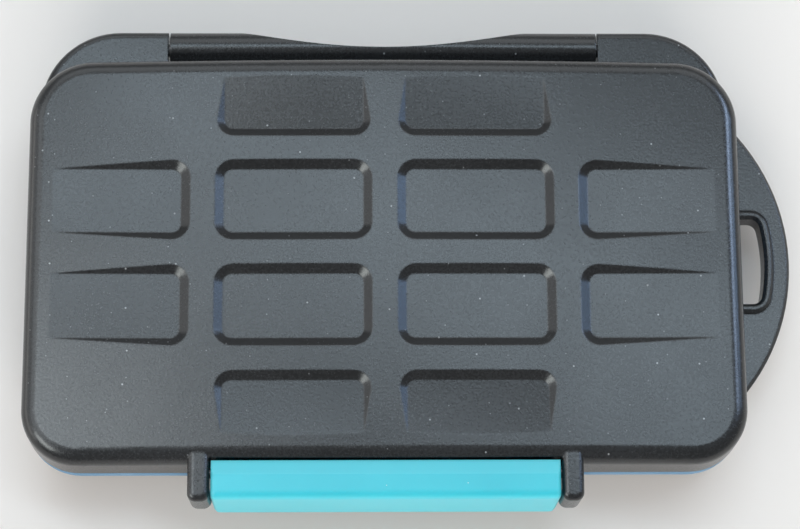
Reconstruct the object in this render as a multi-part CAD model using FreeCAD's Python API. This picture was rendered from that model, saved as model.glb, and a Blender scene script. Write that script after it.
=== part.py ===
import FreeCAD, Part
import math
import os

# Pocket hard case for memory cards: two hinged shells with rubber card trays, a rim seal and a latch.
# Millimetres. The case lies on its base: +X points to the lanyard loop, +Y to the hinge, +Z up.
# The origin is on the underside of the base, below the middle of the lid.

# Cards and their pockets
card_length = 32.0
card_width = 24.0
card_slack = 0.4
pocket_columns = 3
pocket_rib_x = 2.4
pocket_rib_y = 4.0
pocket_depth = 2.6
pocket_corner = 1.0
scoop_radius = 8.0

# Outer form, round the pockets and up from the underside
side_margin = 4.5
end_margin = 5.9
base_rim_height = 10.0
seal_band = 3.0
lid_height = 9.0
front_corner = 8.8
back_corner = 10.0
back_bow = 0.5
crown_rise = 1.0
lid_draft = 2.0
base_draft = 3.0
base_setback = 0.8
lid_edge_radius = 2.55
base_edge_chamfer = 2.2

# Walls
lid_wall = 2.0
lid_top_wall = 2.4
base_wall = 1.8
base_floor = 2.4

# Panel recesses in the lid's top and the base's underside
panel_length = 21.6
panel_width = 10.06
panel_gap = 6.55
panel_depth = 0.93
panel_slope = 1.4
panel_floor_corner = 1.4
panel_mouth_corner = 2.2
panel_shift = 0.53
panel_edge_x = 4.3
panel_edge_y = 3.9
base_panel_trim = 1.6

# Hinge
hinge_setback = 4.24
hinge_drop = 2.0
barrel_radius = 2.8
barrel_length = 68.3
barrel_end_gap = 0.3
barrel_swing_gap = 0.36
waist_length = 47.0
waist_depth = 3.04
web_rise = 1.8
web_foot_share = 0.7
ear_corner = 12.6
ear_top_gap = 0.3
ear_side_gap = 0.3
ear_edge_radius = 1.2
ear_tip_trim = 0.7
hinge_pin_diameter = 2.0
hinge_pin_grip = 10.0
pin_sink = 0.4

# Latch, its brackets and its catch
latch_width = 52.6
latch_side_gap = 0.25
latch_axis_reach = 1.12
latch_axis_drop = 2.2
latch_crest = 2.1
latch_knuckle = 1.85
latch_knuckle_gap = 0.3
brow_length = 2.2
brow_drop = 0.6
brow_reach = 1.75
latch_reach = 5.22
latch_plate = 1.8
latch_lean = 0.3
latch_foot_drop = 1.6
latch_nose_radius = 1.2
latch_edge_chamfer = 0.4
latch_foot_corner = 1.2
hook_depth = 1.5
hook_height = 0.9
catch_gap = 0.2
catch_length = 40.0
catch_lip = 0.7
catch_root = 2.8
bracket_width = 3.3
bracket_reach = 5.52
bracket_drop = 0.4
bracket_corner_radius = 1.25
bracket_edge_radius = 0.95
latch_pin_diameter = 1.6
latch_pin_grip = 5.0

# Lanyard loop
loop_radius = 33.0
loop_reach = 8.9
loop_thickness = 3.3
loop_shift = 1.7
loop_edge_chamfer = 0.5
loop_under_chamfer = 0.6
slot_length = 13.8
slot_reach = 4.85
slot_inner_reach = 0.2
slot_corner = 1.5
ridge_width = 1.5
ridge_height = 0.8
ridge_chamfer_share = 0.35

# Rim seal
seal_width = 2.1
seal_gap = 0.3
seal_chamfer = 0.35
tongue_width = 0.8
tongue_depth = 0.9

# Card trays
tray_fit = 0.15
tray_skin = 1.2
tray_rib = 1.6
base_tray_rise = 1.0
lid_tray_gap = 0.4

# Clearances of pins
press_clearance = 0.01
running_clearance = 0.05
socket_end_gap = 0.3
pin_chamfer = 0.2

# How far cutting solids pass beyond what they cut, the share of a wall that a joined piece reaches into,
# and the distance within which two places count as the same
overcut = 1.0
root_share = 0.9
touch = 0.0001

# Places worked out from the sizes above
pocket_length = card_length + card_slack
pocket_width = card_width + card_slack
pocket_pitch_x = pocket_length + pocket_rib_x
pocket_pitch_y = pocket_width + pocket_rib_y
lid_width = pocket_columns * pocket_pitch_x - pocket_rib_x + 2 * side_margin
lid_depth = 2 * pocket_pitch_y - pocket_rib_y + 2 * end_margin
parting_height = base_rim_height + seal_band
case_height = parting_height + lid_height
half_width = lid_width / 2
half_depth = lid_depth / 2
lid_front = -half_depth
lid_slope = math.tan(math.radians(lid_draft))
base_slope = math.tan(math.radians(base_draft))
crown_radius = (half_width ** 2 + crown_rise ** 2) / (2 * crown_rise)
bow_radius = (half_width ** 2 + back_bow ** 2) / (2 * back_bow)
ceiling_height = case_height - lid_top_wall
hinge_y = half_depth + hinge_setback
hinge_z = parting_height - hinge_drop
base_half = half_width - base_setback
base_back = half_depth - base_setback
rim_middle = base_setback + base_wall / 2
ear_back = hinge_y + barrel_radius
ear_top = parting_height - ear_top_gap
notch_half = barrel_length / 2 + barrel_end_gap
latch_y = lid_front - latch_axis_reach
latch_z = case_height - latch_axis_drop
latch_face = lid_front - latch_reach
latch_foot_height = base_rim_height - latch_foot_drop
bracket_inner = latch_width / 2 + latch_side_gap
loop_x = half_width + loop_reach - loop_radius
loop_bottom = base_rim_height - loop_thickness
base_tray_top = base_rim_height + base_tray_rise


def vec(x, y, z):
    return FreeCAD.Vector(x, y, z)


def line(start, end):
    return Part.LineSegment(start, end).toShape()


def arc(x, y, radius, start_angle, end_angle, z):
    """Arc about (x, y) at height z, between two angles in degrees."""
    ends = [math.radians(a) for a in (start_angle, (start_angle + end_angle) / 2, end_angle)]
    points = [vec(x + radius * math.cos(a), y + radius * math.sin(a), z) for a in ends]
    return Part.Arc(*points).toShape()


def closed_wire(curves):
    """Join curves in order, closing each gap between neighbours with a straight edge."""
    edges = []
    for i, curve in enumerate(curves):
        edges.append(curve)
        end = curve.lastVertex(True).Point
        start = curves[(i + 1) % len(curves)].firstVertex(True).Point
        if (end - start).Length > touch:
            edges.append(line(end, start))
    return Part.Wire(edges)


def lid_outline(inset, z):
    """Plan of the lid's rim, drawn in by inset: four corner arcs and a bowed back edge."""
    front_x = half_width - front_corner
    front_y = lid_front + front_corner
    back_x = half_width - back_corner
    bow_y = half_depth - bow_radius
    back_y = bow_y + math.sqrt((bow_radius - back_corner) ** 2 - back_x ** 2)
    turn = math.degrees(math.atan2(back_y - bow_y, back_x))
    front_r = front_corner - inset
    back_r = back_corner - inset
    return closed_wire([
        arc(front_x, front_y, front_r, -90, 0, z),
        arc(back_x, back_y, back_r, 0, turn, z),
        arc(0, bow_y, bow_radius - inset, turn, 180 - turn, z),
        arc(-back_x, back_y, back_r, 180 - turn, 180, z),
        arc(-front_x, front_y, front_r, 180, 270, z),
    ])


def base_outline(inset, z):
    """Plan of the base with its hinge ears as one rounded rectangle, drawn in by inset."""
    front_r = front_corner - base_setback
    front_x = base_half - front_r
    front_y = -base_back + front_r
    ear_x = base_half - ear_corner
    ear_y = ear_back - ear_corner
    return closed_wire([
        arc(front_x, front_y, front_r - inset, -90, 0, z),
        arc(ear_x, ear_y, ear_corner - inset, 0, 90, z),
        arc(-ear_x, ear_y, ear_corner - inset, 90, 180, z),
        arc(-front_x, front_y, front_r - inset, 180, 270, z),
    ])


def rounded_rectangle(x0, x1, y0, y1, radius, z):
    return closed_wire([
        arc(x1 - radius, y0 + radius, radius, -90, 0, z),
        arc(x1 - radius, y1 - radius, radius, 0, 90, z),
        arc(x0 + radius, y1 - radius, radius, 90, 180, z),
        arc(x0 + radius, y0 + radius, radius, 180, 270, z),
    ])


def loft(lower, upper):
    return Part.makeLoft([lower, upper], True, True)


def upright(wire, height):
    """Straight prism on a level wire."""
    return Part.Face(wire).extrude(vec(0, 0, height))


def ring(outer_inset, inner_inset, z0, z1):
    outer = upright(lid_outline(outer_inset, z0), z1 - z0)
    return outer.cut(upright(lid_outline(inner_inset, z0), z1 - z0))


def along_x(profile, x0, x1):
    """Prism of a closed (y, z) profile between two values of x."""
    points = [vec(x0, y, z) for y, z in profile]
    face = Part.Face(Part.makePolygon(points + points[:1]))
    return face.extrude(vec(x1 - x0, 0, 0))


def rod(radius, x0, x1, y, z):
    """Round bar along X."""
    return Part.makeCylinder(radius, x1 - x0, vec(x0, y, z), vec(1, 0, 0))


def block(x0, x1, y0, y1, z0, z1):
    return Part.makeBox(x1 - x0, y1 - y0, z1 - z0, vec(x0, y0, z0))


def fuse(first, *others):
    return first.fuse(list(others)).removeSplitter()


def cut(body, *tools):
    return body.cut(list(tools))


def mirrored_x(shape):
    return shape.mirror(vec(0, 0, 0), vec(1, 0, 0))


def at_height(shape, z):
    """Edges that lie at one height."""
    box = [(e, e.BoundBox) for e in shape.Edges]
    return [e for e, b in box if abs(b.ZMin - z) < touch and abs(b.ZMax - z) < touch]


def cavity_inset(z):
    """Inset of the base's inner wall at height z."""
    return base_setback + base_wall + (base_rim_height - z) * base_slope


def lid_inset(z):
    """Inset of the lid's outer wall at height z."""
    return (z - parting_height) * lid_slope


def full_panel():
    """Cutter for a four-walled recess, centred, with its mouth at z = 0."""
    grow = panel_slope * (panel_depth + overcut) / panel_depth
    x = panel_length / 2
    y = panel_width / 2
    mouth_corner = panel_mouth_corner * (panel_depth + overcut) / panel_depth
    floor = rounded_rectangle(-x, x, -y, y, panel_floor_corner, -panel_depth)
    mouth = rounded_rectangle(-x - grow, x + grow, -y - grow, y + grow, mouth_corner, overcut)
    return loft(floor, mouth)


def fading_panel(span, reach, rise):
    """Cutter for a recess whose floor climbs along +Y by rise over reach, from an inner wall at y = 0."""
    tilt = math.atan2(rise, reach)
    wall_run = panel_slope * math.cos(tilt) - panel_depth * math.sin(tilt)
    wall_rise = panel_slope * math.sin(tilt) + panel_depth * math.cos(tilt)
    lift = panel_depth + overcut
    side_grow = panel_slope * lift / panel_depth
    inner_grow = wall_run * lift / wall_rise
    far = reach + 2 * overcut
    x = span / 2
    mouth_corner = panel_mouth_corner * lift / panel_depth
    floor = rounded_rectangle(-x, x, 0, far, panel_floor_corner, 0)
    mouth = rounded_rectangle(-x - side_grow, x + side_grow, -inner_grow, far + side_grow, mouth_corner, lift)
    cutter = loft(floor, mouth)
    cutter.rotate(vec(0, 0, 0), vec(1, 0, 0), math.degrees(tilt))
    cutter.translate(vec(0, 0, -panel_depth))
    return cutter


def panel_cutters(top, bend, trim):
    """The twelve recesses of one face: top is its height, bend its curvature along X."""
    cutters = []
    column_x = (panel_length + panel_gap) / 2
    row_y = (panel_width + panel_gap) / 2
    side_x = column_x + panel_length / 2 + panel_gap
    end_y = row_y + panel_width / 2 + panel_gap
    lean = math.degrees(math.asin(bend * column_x))

    def level(x):
        return top - bend * x ** 2 / 2

    side_end = half_width - panel_edge_x - trim
    fade_x = side_end - side_x
    fade_y = half_depth - panel_edge_y - trim - end_y
    side_rise = level(side_end) - level(side_x) + panel_depth
    for side in (-1, 1):
        for row in (-1, 1):
            middle = full_panel()
            middle.rotate(vec(0, 0, 0), vec(0, 1, 0), side * lean)
            middle.translate(vec(side * column_x, panel_shift + row * row_y, level(column_x)))
            end = fading_panel(panel_length, fade_y, panel_depth)
            end.rotate(vec(0, 0, 0), vec(0, 0, 1), 90 - row * 90)
            end.rotate(vec(0, 0, 0), vec(0, 1, 0), side * lean)
            end.translate(vec(side * column_x, panel_shift + row * end_y, level(column_x)))
            flank = fading_panel(panel_width, fade_x, side_rise)
            flank.rotate(vec(0, 0, 0), vec(0, 0, 1), -side * 90)
            flank.translate(vec(side * side_x, panel_shift + row * row_y, level(side_x)))
            cutters += [middle, end, flank]
    return cutters


def lid_body():
    """Hollow lid: drafted walls, crowned top, rounded edge and panel recesses."""
    tall = case_height + overcut
    outer = loft(lid_outline(0, parting_height), lid_outline(lid_inset(tall), tall))
    crown_base = vec(0, -lid_depth, case_height - crown_radius)
    crown = Part.makeCylinder(crown_radius, 2 * lid_depth, crown_base, vec(0, 1, 0))
    outer = outer.common(crown)
    crest = max(outer.Faces, key=lambda f: f.CenterOfMass.z)
    outer = outer.makeFillet(lid_edge_radius, crest.OuterWire.Edges)
    cavity = loft(
        lid_outline(lid_wall - lid_inset(parting_height + overcut), parting_height - overcut),
        lid_outline(lid_wall + lid_inset(ceiling_height), ceiling_height),
    )
    return cut(outer, cavity, *panel_cutters(case_height, 1 / crown_radius, 0))


def hinge_barrel():
    """Round bar along the lid's back edge, hollowed behind in a long waist, and the web that carries it."""
    half = barrel_length / 2
    waist = waist_length / 2
    bend = (waist ** 2 + waist_depth ** 2) / (2 * waist_depth)
    foot = hinge_z - barrel_radius - overcut
    hollow_centre = vec(0, ear_back - waist_depth + bend, foot)
    hollow = Part.makeCylinder(bend, 2 * (barrel_radius + overcut), hollow_centre)
    bar = rod(barrel_radius, -half, half, hinge_y, hinge_z).cut(hollow)
    root = half_depth - root_share * lid_wall
    shelf = parting_height + web_rise
    clear = half_depth + barrel_swing_gap
    web = along_x([
        (root, parting_height),
        (root, shelf),
        (half_depth, shelf),
        (hinge_y - web_foot_share * barrel_radius, hinge_z),
        (clear, hinge_z),
        (clear, parting_height),
    ], -half, half)
    return fuse(bar, web)


def bracket():
    """Right-hand latch bracket: a rounded cheek standing out from the lid's front wall."""
    root = lid_front + root_share * lid_wall
    nose = lid_front - bracket_reach
    top = case_height - bracket_drop
    cheek = block(bracket_inner, bracket_inner + bracket_width, nose, root, parting_height, top)
    corners = [e for e in cheek.Edges if e.BoundBox.YMax < nose + touch and e.BoundBox.XLength < touch]
    cheek = cheek.makeFillet(bracket_corner_radius, corners)
    rim = [e for e in at_height(cheek, top) if e.BoundBox.YMin < root - touch]
    return cheek.makeFillet(bracket_edge_radius, rim)


def lid_shell():
    body = lid_body()
    sweep = math.hypot(brow_reach, latch_crest - brow_drop) + latch_knuckle_gap
    body = cut(body, rod(sweep, -bracket_inner, bracket_inner, latch_y, latch_z))
    cheek = bracket()
    body = fuse(body, hinge_barrel(), cheek, mirrored_x(cheek))
    outer = bracket_inner + bracket_width + overcut
    latch_bore = rod(latch_pin_diameter / 2 + press_clearance, -outer, outer, latch_y, latch_z)
    half = barrel_length / 2
    end = half - hinge_pin_grip - socket_end_gap
    hinge_bore = rod(hinge_pin_diameter / 2 + running_clearance, end, half + overcut, hinge_y, hinge_z)
    return cut(body, latch_bore, hinge_bore, mirrored_x(hinge_bore))


def lanyard_loop():
    """Crescent flange on the right side, with a raised bead round its slot."""
    root = base_half - root_share * base_wall
    tip = half_width + loop_reach
    disc = Part.makeCylinder(loop_radius, loop_thickness, vec(loop_x, loop_shift, loop_bottom))
    disc = disc.makeChamfer(loop_edge_chamfer, at_height(disc, base_rim_height))
    disc = disc.makeChamfer(loop_under_chamfer, at_height(disc, loop_bottom))
    flange = disc.common(block(root, tip, -half_depth, half_depth, 0, case_height))
    bead = slot_prism(ridge_width, base_rim_height - ridge_height, base_rim_height + ridge_height)
    bead = bead.cut(slot_prism(0, 0, case_height))
    crest = at_height(bead, base_rim_height + ridge_height)
    bead = bead.makeChamfer(ridge_chamfer_share * ridge_width, crest)
    bead = bead.common(block(half_width + ear_side_gap, tip, -half_depth, half_depth, 0, case_height))
    return fuse(flange, bead).cut(slot_prism(0, 0, case_height))


def slot_prism(grow, z0, z1):
    """D-shaped prism over the lanyard slot, larger by grow all round."""
    radius = loop_radius - loop_reach + slot_reach + grow
    disc = Part.makeCylinder(radius, z1 - z0, vec(loop_x, loop_shift, z0))
    x0 = half_width - slot_inner_reach - grow
    y = slot_length / 2 + grow
    prism = disc.common(block(x0, loop_x + radius, loop_shift - y, loop_shift + y, z0, z1))
    upright_edges = [e for e in prism.Edges if e.BoundBox.ZLength > (z1 - z0) / 2]
    return prism.makeFillet(slot_corner + grow, upright_edges)


def latch_catch():
    """Ledge on the base's front wall that the latch's hook snaps past."""
    tip = latch_face - latch_lean + latch_plate + hook_depth + catch_gap
    root = -base_back + root_share * base_wall
    top = base_rim_height
    return along_x([
        (root, top),
        (tip, top),
        (tip, top - catch_lip),
        (root, top - catch_root),
    ], -catch_length / 2, catch_length / 2)


def hinge_notch():
    """Space between the two ears, with the back wall's lower edge left chamfered."""
    far = ear_back + overcut
    low_back = base_back - base_edge_chamfer
    return along_x([
        (low_back - overcut, -overcut),
        (far, -overcut),
        (far, case_height),
        (base_back, case_height),
        (base_back, base_edge_chamfer),
    ], -notch_half, notch_half)


def base_shell():
    """Tray-shaped lower half with ears at the back corners, the lanyard loop and the latch's catch."""
    body = loft(base_outline(ear_top * base_slope, 0), base_outline(0, ear_top))
    body = body.makeChamfer(base_edge_chamfer, at_height(body, 0))
    body = body.makeFillet(ear_edge_radius, at_height(body, ear_top))
    lid_room = upright(lid_outline(-ear_side_gap, base_rim_height), case_height)
    ear_tip = ear_back - ear_corner + ear_tip_trim
    tip_room = block(-half_width, half_width, -half_depth, ear_tip, base_rim_height, case_height)
    cavity = loft(
        lid_outline(cavity_inset(base_floor), base_floor),
        lid_outline(cavity_inset(base_rim_height + overcut), base_rim_height + overcut),
    )
    groove = ring(
        rim_middle - tongue_width / 2,
        rim_middle + tongue_width / 2,
        base_rim_height - tongue_depth,
        base_rim_height + overcut,
    )
    body = cut(body, hinge_notch(), lid_room, tip_room, cavity)
    body = fuse(body, lanyard_loop(), latch_catch())
    panels = [p.mirror(vec(0, 0, 0), vec(0, 0, 1)) for p in panel_cutters(0, 0, base_panel_trim)]
    bore = rod(hinge_pin_diameter / 2 + press_clearance, -base_half, base_half, hinge_y, hinge_z)
    return cut(body, groove, bore, *panels)


def rim_seal():
    """Rubber ring on the base's rim, flush with the lid's edge, with a tongue in the rim's groove."""
    height = parting_height - seal_gap - base_rim_height
    body = upright(lid_outline(0, base_rim_height), height)
    level_edges = at_height(body, base_rim_height) + at_height(body, base_rim_height + height)
    body = body.makeChamfer(seal_chamfer, level_edges)
    body = cut(body, upright(lid_outline(seal_width, base_rim_height), height))
    tongue = ring(
        rim_middle - tongue_width / 2,
        rim_middle + tongue_width / 2,
        base_rim_height - tongue_depth,
        base_rim_height + height / 2,
    )
    return fuse(body, tongue)


def pocket_places():
    """Centres of the card pockets, three columns by two rows."""
    first = -(pocket_columns - 1) / 2
    columns = [(first + i) * pocket_pitch_x for i in range(pocket_columns)]
    return [(x, side * pocket_pitch_y / 2) for x in columns for side in (-1, 1)]


def card_tray(body, face, back, upward):
    """Cut card pockets into a tray's open face, and relief cells into its hidden back."""
    floor = face - upward * pocket_depth
    deck = floor - upward * tray_skin
    past = face + upward * overcut
    half_x = pocket_length / 2
    half_y = pocket_width / 2
    cell_x = half_x - tray_rib
    cell_y = half_y - tray_rib
    low = min(floor, past)
    depth = pocket_depth + overcut
    tools = []
    for x, y in pocket_places():
        mouth = rounded_rectangle(x - half_x, x + half_x, y - half_y, y + half_y, pocket_corner, low)
        tools.append(upright(mouth, depth))
        tools.append(block(x - cell_x, x + cell_x, y - cell_y, y + cell_y, min(back, deck), max(back, deck)))
        if y > 0:
            tools.append(Part.makeCylinder(scoop_radius, depth, vec(x, 0, low)))
    return cut(body, *tools)


def base_card_tray():
    body = loft(
        lid_outline(cavity_inset(base_floor) + tray_fit, base_floor),
        lid_outline(cavity_inset(base_tray_top) + tray_fit, base_tray_top),
    )
    return card_tray(body, base_tray_top, base_floor, 1)


def lid_card_tray():
    face = parting_height + lid_tray_gap
    inset = lid_wall + tray_fit
    body = loft(
        lid_outline(inset + lid_inset(face), face),
        lid_outline(inset + lid_inset(ceiling_height), ceiling_height),
    )
    return card_tray(body, face, ceiling_height, -1)


def latch():
    """Latch: a knuckle round the pins with a sloping brow, a front plate and a hook along its foot."""
    half = latch_width / 2
    crest = latch_z + latch_crest
    under = latch_z - latch_knuckle
    foot_face = latch_face - latch_lean
    foot_back = foot_face + latch_plate
    hook_top = latch_foot_height + hook_height
    brow = latch_y + brow_reach
    profile = [
        (brow, latch_z),
        (brow, crest - brow_drop),
        (brow - brow_length, crest),
        (latch_face, crest),
        (foot_face, latch_foot_height),
        (foot_back + hook_depth, latch_foot_height),
        (foot_back + hook_depth, hook_top),
        (foot_back, hook_top + hook_depth),
        (latch_face + latch_plate, under),
        (latch_y, under),
    ]
    body = fuse(along_x(profile, -half, half), rod(latch_knuckle, -half, half, latch_y, latch_z))
    corners = [
        e for e in body.Edges
        if e.BoundBox.ZMax < latch_foot_height + touch and e.BoundBox.XLength < touch
    ]
    body = body.makeFillet(latch_foot_corner, corners)
    nose = [
        e for e in body.Edges
        if e.BoundBox.YMax < latch_face + touch and e.BoundBox.ZMin > crest - touch
    ]
    body = body.makeFillet(latch_nose_radius, nose)
    ends = [
        e for e in body.Edges
        if e.BoundBox.XLength < touch and e.BoundBox.YMax < latch_face + touch
    ]
    body = body.makeChamfer(latch_edge_chamfer, ends)
    depth = latch_pin_grip + socket_end_gap
    socket = rod(latch_pin_diameter / 2 + running_clearance, half - depth, half + overcut, latch_y, latch_z)
    return cut(body, socket, mirrored_x(socket))


def pin(diameter, x0, x1, y, z):
    """Steel pin along X with chamfered ends."""
    body = rod(diameter / 2, x0, x1, y, z)
    return body.makeChamfer(pin_chamfer, [e for e in body.Edges if e.Closed])


def hinge_pin_right():
    ear_x = base_half - ear_corner
    rise = hinge_y + hinge_pin_diameter / 2 - (ear_back - ear_corner)
    mouth = ear_x + math.sqrt(ear_corner ** 2 - rise ** 2)
    inner = barrel_length / 2 - hinge_pin_grip
    return pin(hinge_pin_diameter, inner, mouth - pin_sink, hinge_y, hinge_z)


def latch_pin_right():
    outer = bracket_inner + bracket_width - pin_sink
    inner = latch_width / 2 - latch_pin_grip
    return pin(latch_pin_diameter, inner, outer, latch_y, latch_z)


def main():
    os.makedirs("parts", exist_ok=True)
    hinge_pin = hinge_pin_right()
    latch_pin = latch_pin_right()
    pieces = {
        "base_shell": base_shell(),
        "lid_shell": lid_shell(),
        "rim_seal": rim_seal(),
        "base_card_tray": base_card_tray(),
        "lid_card_tray": lid_card_tray(),
        "latch": latch(),
        "hinge_pin_left": mirrored_x(hinge_pin),
        "hinge_pin_right": hinge_pin,
        "latch_pin_left": mirrored_x(latch_pin),
        "latch_pin_right": latch_pin,
    }
    for name, shape in pieces.items():
        shape.exportStep("parts/" + name + ".step")
        print(name, len(shape.Solids), shape.isValid(), round(shape.Volume, 1))


main()
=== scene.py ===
import math

import bpy
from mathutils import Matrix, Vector

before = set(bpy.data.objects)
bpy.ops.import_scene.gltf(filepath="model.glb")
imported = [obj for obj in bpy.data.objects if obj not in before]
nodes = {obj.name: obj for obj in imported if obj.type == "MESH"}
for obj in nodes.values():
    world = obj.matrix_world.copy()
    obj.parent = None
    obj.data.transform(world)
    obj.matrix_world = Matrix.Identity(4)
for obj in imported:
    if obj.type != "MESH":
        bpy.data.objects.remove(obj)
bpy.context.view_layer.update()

scene = bpy.context.scene
scene.view_settings.view_transform = "Standard"

# Camera at the photograph's viewpoint: metres, degrees about X, Y and Z, and millimetres
CAMERA_PLACE = (-0.00557, -0.088335, 0.37898)
CAMERA_TURN = (13.663, -1.180, -0.324)
CAMERA_LENS = 108.0
CAMERA_SENSOR = 36.0

# Colours, linear
SHELL_DARK = (0.0060, 0.0064, 0.0070, 1.0)
SHELL_PALE = (0.0190, 0.0202, 0.0221, 1.0)
SHELL_EDGE = (0.0420, 0.0450, 0.0490, 1.0)
SHELL_DUST = (0.26, 0.27, 0.28, 1.0)
LATCH_DEEP = (0.045, 0.555, 0.665, 1.0)
LATCH_PALE = (0.056, 0.595, 0.705, 1.0)
LATCH_EDGE = (0.150, 0.720, 0.810, 1.0)
# Paler cyan painted on the latch's front-facing nose and back-facing brow as painted light
LATCH_PAINTED_LIGHT = (0.130, 0.680, 0.790, 1.0)
LATCH_DUST = (0.62, 0.78, 0.82, 1.0)
SEAL_DEEP = (0.120, 0.260, 0.420, 1.0)
SEAL_PALE = (0.170, 0.320, 0.480, 1.0)
SEAL_EDGE = (0.220, 0.380, 0.540, 1.0)
TRAY_DEEP = (0.060, 0.190, 0.380, 1.0)
TRAY_PALE = (0.085, 0.230, 0.430, 1.0)
TRAY_EDGE = (0.140, 0.300, 0.500, 1.0)
STEEL_DARK = (0.050, 0.050, 0.053, 1.0)
STEEL_PALE = (0.090, 0.090, 0.095, 1.0)
STEEL_EDGE = (0.220, 0.220, 0.225, 1.0)
FLOOR_COLOUR = (0.91, 0.87, 0.84, 1.0)
WORLD_TINT = (0.95, 0.98, 1.0, 1.0)

# Noises: scale per metre, and octaves of detail
SHELL_CLOUDS = (45.0, 4.0)
SHELL_GRAIN = (2600.0, 2.0)
SHELL_SMUDGES = (70.0, 3.0)
LATCH_CLOUDS = (60.0, 3.0)
LATCH_GRAIN = (2800.0, 3.0)
LATCH_SMUDGES = (90.0, 3.0)
RUBBER_CLOUDS = (120.0, 4.0)
RUBBER_GRAIN = (3600.0, 3.0)
STEEL_STREAKS = (2600.0, 3.0)
STEEL_STRETCH = (0.03, 1.0, 1.0)

# Part of a noise's range that a change is spread over: the narrower, the stronger it shows
NARROW = (0.35, 0.65)
MEDIUM = (0.3, 0.7)
WIDE = (0.2, 0.8)

# Shares of clouds and grain in the shell's tone, and of the painted light on the latch's nose and brow
SHELL_CLOUD_SHARE = 0.45
SHELL_GRAIN_SHARE = 0.55
LATCH_PAINTED_LIGHT_SHARE = 0.65

# Y of the latch's outward normal, from no painted light to full painted light on the nose and brow
NOSE_FACING = (-0.5, -0.9)
BROW_FACING = (0.1, 0.3)

# Roughness from a noise's low end to its high end
SHELL_ROUGHNESS = (0.23, 0.26)
SHELL_GRAIN_ROUGHNESS = (-0.03, 0.03)
LATCH_ROUGHNESS = (0.36, 0.40)
RUBBER_ROUGHNESS = (0.58, 0.70)
STEEL_ROUGHNESS = (0.24, 0.36)
FLOOR_ROUGHNESS = 0.9

# Gloss, and the light that scatters inside the latch: weight, radius by colour and depth in metres
SHELL_IOR = 1.5
LATCH_IOR = 1.49
RUBBER_IOR = 1.5
FLOOR_SPECULAR = 0.1
LATCH_SCATTER = 0.5
LATCH_SCATTER_RADIUS = (0.3, 1.0, 1.0)
LATCH_SCATTER_DEPTH = 0.0018

# Rounding of sharp edges in the shading, in metres, and the samples that find it
SHELL_ROUNDING = 0.00035
LATCH_ROUNDING = 0.0008
RUBBER_ROUNDING = 0.0002
STEEL_ROUNDING = 0.0001
ROUNDING_SAMPLES = 4

# Relief of the grain: depth in metres, and strength
SHELL_RELIEF = (0.000016, 0.8)
LATCH_RELIEF = (0.000022, 0.5)
RUBBER_RELIEF = (0.00002, 0.3)
STEEL_RELIEF = (0.000006, 0.3)

# Edge wear: cosine between rounded and true normal where wear is full, and the most wear
EDGE_START = 0.99
SHELL_WEAR = (0.80, 0.35)
LATCH_WEAR = (0.75, 0.6)
RUBBER_WEAR = (0.8, 0.4)
STEEL_WEAR = (0.8, 0.5)

# Dust: cells per metre, a speck's radius in cells, and the share of cells with a speck
SHELL_FINE_DUST = (330.0, 0.042, 0.22)
SHELL_COARSE_DUST = (150.0, 0.026, 0.30)
LATCH_FINE_DUST = (330.0, 0.034, 0.10)
SHELL_FINE_DUST_STRENGTH = 0.45
DUST_CORE = 0.5
DUST_UPWARD = 0.8

# Surroundings: strength in front and behind, and the Y between which it changes
WORLD_FRONT = 0.33
WORLD_BACK = 0.50
WORLD_SPAN = 0.8

FLOOR_HALF = 3.0
LAMP_AIM = (0.0, 0.0, 0.012)


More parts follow.
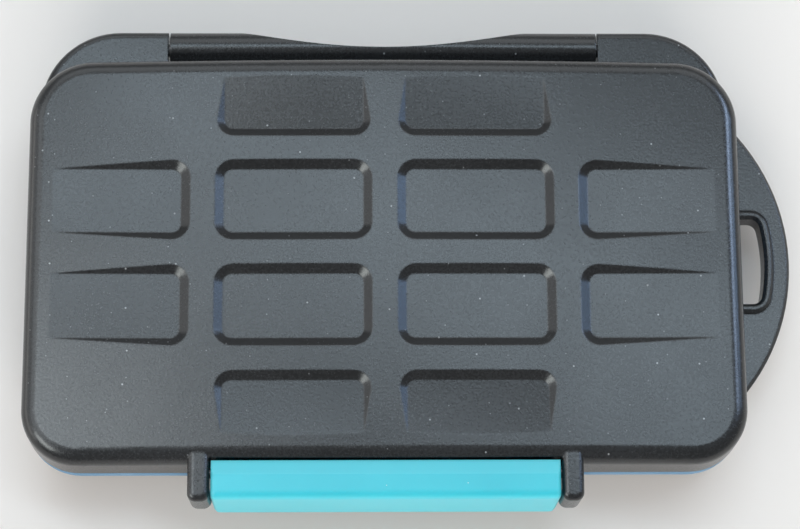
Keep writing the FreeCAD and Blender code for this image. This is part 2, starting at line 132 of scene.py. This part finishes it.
class Shader:
    """Node material with one Principled shader, built link by link in object coordinates."""

    def __init__(self, name):
        self.material = bpy.data.materials.new(name)
        self.material.use_nodes = True
        self.tree = self.material.node_tree
        self.bsdf = self.tree.nodes["Principled BSDF"]
        coordinates = self.tree.nodes.new("ShaderNodeTexCoord")
        self.place = coordinates.outputs["Object"]
        self.outward = coordinates.outputs["Normal"]
        self.rounded = None

    def put(self, socket, value):
        """Link value to socket if it is another node's output, else write it there."""
        if isinstance(value, bpy.types.NodeSocket):
            self.tree.links.new(value, socket)
        else:
            socket.default_value = value

    def set(self, name, value):
        self.put(self.bsdf.inputs[name], value)

    def node(self, kind, inputs=(), **settings):
        made = self.tree.nodes.new(kind)
        for key, value in settings.items():
            setattr(made, key, value)
        for key, value in dict(inputs).items():
            self.put(made.inputs[key], value)
        return made

    def noise(self, scale, detail, stretch=None):
        place = self.place
        if stretch:
            mapping = self.node("ShaderNodeMapping", {"Vector": place, "Scale": stretch})
            place = mapping.outputs["Vector"]
        made = self.node("ShaderNodeTexNoise", {"Vector": place, "Scale": scale, "Detail": detail})
        return made.outputs["Fac"]

    def ramp(self, value, low, high, to_low=0.0, to_high=1.0):
        made = self.node("ShaderNodeMapRange", {
            "Value": value, "From Min": low, "From Max": high, "To Min": to_low, "To Max": to_high,
        })
        return made.outputs["Result"]

    def math(self, operation, first, second):
        made = self.node("ShaderNodeMath", {0: first, 1: second}, operation=operation)
        return made.outputs["Value"]

    def mix(self, factor, first, second):
        """Colour from first to second; the node's colour sockets share names with its other kinds."""
        made = self.node("ShaderNodeMix", {0: factor}, data_type="RGBA")
        colours = [socket for socket in made.inputs if socket.type == "RGBA"]
        self.put(colours[0], first)
        self.put(colours[1], second)
        return [socket for socket in made.outputs if socket.type == "RGBA"][0]

    def split(self, vector):
        return self.node("ShaderNodeSeparateXYZ", {"Vector": vector}).outputs

    def round_edges(self, radius):
        """Normal that turns over sharp edges within radius."""
        made = self.node("ShaderNodeBevel", {"Radius": radius}, samples=ROUNDING_SAMPLES)
        self.rounded = made.outputs["Normal"]

    def wear_edges(self, colour, edge_colour, full, most):
        """Colour turned to edge_colour where the rounded normal leaves the true one."""
        true = self.node("ShaderNodeNewGeometry").outputs["Normal"]
        dot = self.node("ShaderNodeVectorMath", {0: self.rounded, 1: true}, operation="DOT_PRODUCT")
        edge = self.ramp(dot.outputs["Value"], EDGE_START, full)
        return self.mix(self.math("MULTIPLY", edge, most), colour, edge_colour)

    def relief(self, height, depth, strength):
        made = self.node("ShaderNodeBump", {
            "Height": height, "Distance": depth, "Strength": strength, "Normal": self.rounded,
        })
        self.set("Normal", made.outputs["Normal"])

    def dust(self, scale, radius, share):
        """1 on small round specks on upward faces, in a share of the cells of a scatter over X and Y."""
        cells = self.node(
            "ShaderNodeTexVoronoi", {"Vector": self.place, "Scale": scale}, voronoi_dimensions="2D")
        near = self.ramp(cells.outputs["Distance"], radius, radius * DUST_CORE)
        random = self.node("ShaderNodeSeparateColor", {"Color": cells.outputs["Color"]})
        chosen = self.math("LESS_THAN", random.outputs["Red"], share)
        upward = self.math("GREATER_THAN", self.split(self.outward)["Z"], DUST_UPWARD)
        return self.math("MULTIPLY", self.math("MULTIPLY", near, chosen), upward)


def shell_plastic():
    """Satin black moulded plastic: fine spark-eroded grain, faint smudges, pale edges and dust."""
    shader = Shader("shell_plastic")
    shader.round_edges(SHELL_ROUNDING)
    clouds = shader.noise(*SHELL_CLOUDS)
    grain = shader.noise(*SHELL_GRAIN)
    smudges = shader.noise(*SHELL_SMUDGES)
    cloud_tone = shader.ramp(clouds, *NARROW, 0.0, SHELL_CLOUD_SHARE)
    grain_tone = shader.ramp(grain, *NARROW, 0.0, SHELL_GRAIN_SHARE)
    colour = shader.mix(shader.math("ADD", cloud_tone, grain_tone), SHELL_DARK, SHELL_PALE)
    colour = shader.wear_edges(colour, SHELL_EDGE, *SHELL_WEAR)
    fine = shader.math("MULTIPLY", shader.dust(*SHELL_FINE_DUST), SHELL_FINE_DUST_STRENGTH)
    specks = shader.math("MAXIMUM", fine, shader.dust(*SHELL_COARSE_DUST))
    shader.set("Base Color", shader.mix(specks, colour, SHELL_DUST))
    smudge_roughness = shader.ramp(smudges, *MEDIUM, *SHELL_ROUGHNESS)
    grain_roughness = shader.ramp(grain, *MEDIUM, *SHELL_GRAIN_ROUGHNESS)
    shader.set("Roughness", shader.math("ADD", smudge_roughness, grain_roughness))
    shader.set("IOR", SHELL_IOR)
    shader.relief(grain, *SHELL_RELIEF)
    return shader.material


def latch_plastic():
    """Cyan moulded plastic with a soft gloss and edges rubbed paler; the nose and the brow are painted
    paler as painted light.
    """
    shader = Shader("latch_plastic")
    shader.round_edges(LATCH_ROUNDING)
    clouds = shader.noise(*LATCH_CLOUDS)
    grain = shader.noise(*LATCH_GRAIN)
    smudges = shader.noise(*LATCH_SMUDGES)
    colour = shader.mix(shader.ramp(clouds, *NARROW), LATCH_DEEP, LATCH_PALE)
    # Painted light: the nose and brow are painted paler by which way they face, standing in for the
    # light that falls on them
    facing = shader.split(shader.outward)["Y"]
    nose = shader.ramp(facing, *NOSE_FACING, 0.0, LATCH_PAINTED_LIGHT_SHARE)
    brow = shader.ramp(facing, *BROW_FACING, 0.0, LATCH_PAINTED_LIGHT_SHARE)
    colour = shader.mix(shader.math("MAXIMUM", nose, brow), colour, LATCH_PAINTED_LIGHT)
    colour = shader.wear_edges(colour, LATCH_EDGE, *LATCH_WEAR)
    shader.set("Base Color", shader.mix(shader.dust(*LATCH_FINE_DUST), colour, LATCH_DUST))
    shader.set("Roughness", shader.ramp(smudges, *WIDE, *LATCH_ROUGHNESS))
    shader.set("IOR", LATCH_IOR)
    shader.set("Subsurface Weight", LATCH_SCATTER)
    shader.set("Subsurface Radius", LATCH_SCATTER_RADIUS)
    shader.set("Subsurface Scale", LATCH_SCATTER_DEPTH)
    shader.relief(grain, *LATCH_RELIEF)
    return shader.material


def rubber(name, deep, pale, edge):
    """Matt moulded rubber: soft clouds of colour, dull sheen and rubbed edges."""
    shader = Shader(name)
    shader.round_edges(RUBBER_ROUNDING)
    clouds = shader.noise(*RUBBER_CLOUDS)
    grain = shader.noise(*RUBBER_GRAIN)
    colour = shader.mix(shader.ramp(clouds, *MEDIUM), deep, pale)
    shader.set("Base Color", shader.wear_edges(colour, edge, *RUBBER_WEAR))
    shader.set("Roughness", shader.ramp(grain, *MEDIUM, *RUBBER_ROUGHNESS))
    shader.set("IOR", RUBBER_IOR)
    shader.relief(grain, *RUBBER_RELIEF)
    return shader.material


def drawn_steel():
    """Blackened steel wire drawn along X, with fine lengthwise scratches."""
    shader = Shader("pin_steel")
    shader.round_edges(STEEL_ROUNDING)
    streaks = shader.noise(*STEEL_STREAKS, STEEL_STRETCH)
    colour = shader.mix(shader.ramp(streaks, *NARROW), STEEL_DARK, STEEL_PALE)
    shader.set("Base Color", shader.wear_edges(colour, STEEL_EDGE, *STEEL_WEAR))
    shader.set("Metallic", 1.0)
    shader.set("Roughness", shader.ramp(streaks, *MEDIUM, *STEEL_ROUGHNESS))
    shader.relief(streaks, *STEEL_RELIEF)
    return shader.material


def dress(material, *names):
    """Give the named CAD nodes this material alone."""
    for name in names:
        slots = nodes[name].data.materials
        slots.clear()
        slots.append(material)


def floor():
    """Plain pale sheet that the case lies on."""
    half = FLOOR_HALF
    corners = [(-half, -half, 0), (half, -half, 0), (half, half, 0), (-half, half, 0)]
    mesh = bpy.data.meshes.new("floor")
    mesh.from_pydata(corners, [], [(0, 1, 2, 3)])
    sheet = bpy.data.objects.new("floor", mesh)
    scene.collection.objects.link(sheet)
    shader = Shader("floor")
    shader.set("Base Color", FLOOR_COLOUR)
    shader.set("Roughness", FLOOR_ROUGHNESS)
    shader.set("Specular IOR Level", FLOOR_SPECULAR)
    mesh.materials.append(shader.material)


def surroundings():
    """Even light from all round, a little darker in front than behind."""
    world = bpy.data.worlds.new("studio")
    scene.world = world
    world.use_nodes = True
    tree = world.node_tree
    shade = tree.nodes["Background"]
    shade.inputs["Color"].default_value = WORLD_TINT
    toward = tree.nodes.new("ShaderNodeTexCoord")
    split = tree.nodes.new("ShaderNodeSeparateXYZ")
    blend = tree.nodes.new("ShaderNodeMapRange")
    blend.inputs["From Min"].default_value = -WORLD_SPAN
    blend.inputs["From Max"].default_value = WORLD_SPAN
    blend.inputs["To Min"].default_value = WORLD_FRONT
    blend.inputs["To Max"].default_value = WORLD_BACK
    tree.links.new(toward.outputs["Generated"], split.inputs["Vector"])
    tree.links.new(split.outputs["Y"], blend.inputs["Value"])
    tree.links.new(blend.outputs["Result"], shade.inputs["Strength"])


def lamp(name, place, size, radiance, tint, diffuse=True, glossy=True):
    """Soft rectangular lamp that faces the case, for matt surfaces, for reflections or for both."""
    data = bpy.data.lights.new(name, "AREA")
    data.shape = "RECTANGLE"
    data.size, data.size_y = size
    data.energy = radiance * size[0] * size[1] * math.pi
    data.color = tint
    made = bpy.data.objects.new(name, data)
    scene.collection.objects.link(made)
    made.location = place
    made.rotation_euler = (Vector(LAMP_AIM) - Vector(place)).to_track_quat("-Z", "Y").to_euler()
    made.visible_camera = False
    made.visible_diffuse = diffuse
    made.visible_glossy = glossy


def lamps():
    """Broad lamps light the room; small ones give the glints on the lid's rims and recesses."""
    lamp("overhead", place=(0.13, 0.31, 1.30), size=(0.94, 0.20), radiance=6.6, tint=(0.72, 0.88, 1.0))
    lamp("key", place=(-0.37, 0.10, 1.25), size=(0.36, 0.36), radiance=8.0,
         tint=(0.86, 0.95, 1.0), diffuse=False)
    lamp("fill", place=(0.0, -2.60, 1.69), size=(2.8, 1.6), radiance=4.5,
         tint=(1.0, 0.97, 0.93), glossy=False)
    lamp("back_high", place=(0.0, 1.90, 1.65), size=(3.2, 1.40), radiance=1.5, tint=(0.90, 0.96, 1.0))
    lamp("left_low", place=(-1.20, 0.0, 0.11), size=(1.2, 0.22), radiance=2.4,
         tint=(1.0, 0.98, 0.94), diffuse=False)
    lamp("left_high", place=(-0.74, 0.0, 0.95), size=(1.2, 0.56), radiance=2.2,
         tint=(0.90, 0.96, 1.0), diffuse=False)
    lamp("left_mid", place=(-1.10, 0.0, 0.49), size=(1.2, 0.50), radiance=1.0,
         tint=(0.96, 0.98, 1.0), diffuse=False)
    lamp("window", place=(0.763, 0.458, 0.647), size=(0.31, 0.31), radiance=9.5,
         tint=(0.52, 0.70, 1.0), diffuse=False)
    lamp("window_high", place=(0.763, 0.260, 0.748), size=(0.26, 0.28), radiance=10.0,
         tint=(0.52, 0.70, 1.0), diffuse=False)
    lamp("window_low", place=(0.983, 0.272, 0.412), size=(0.24, 0.26), radiance=5.0,
         tint=(0.40, 0.63, 1.0), diffuse=False)
    lamp("front_left", place=(-0.72, -0.46, 0.55), size=(0.46, 0.40), radiance=7.0,
         tint=(0.94, 1.0, 0.98), diffuse=False)


def camera():
    data = bpy.data.cameras.new("camera")
    data.lens = CAMERA_LENS
    data.sensor_width = CAMERA_SENSOR
    made = bpy.data.objects.new("camera", data)
    scene.collection.objects.link(made)
    made.location = CAMERA_PLACE
    made.rotation_euler = [math.radians(turn) for turn in CAMERA_TURN]
    scene.camera = made


dress(shell_plastic(), "base_shell", "lid_shell")
dress(latch_plastic(), "latch")
dress(rubber("seal_rubber", SEAL_DEEP, SEAL_PALE, SEAL_EDGE), "rim_seal")
dress(rubber("tray_rubber", TRAY_DEEP, TRAY_PALE, TRAY_EDGE), "base_card_tray", "lid_card_tray")
dress(drawn_steel(), "hinge_pin_left", "hinge_pin_right", "latch_pin_left", "latch_pin_right")
floor()
surroundings()
lamps()
camera()
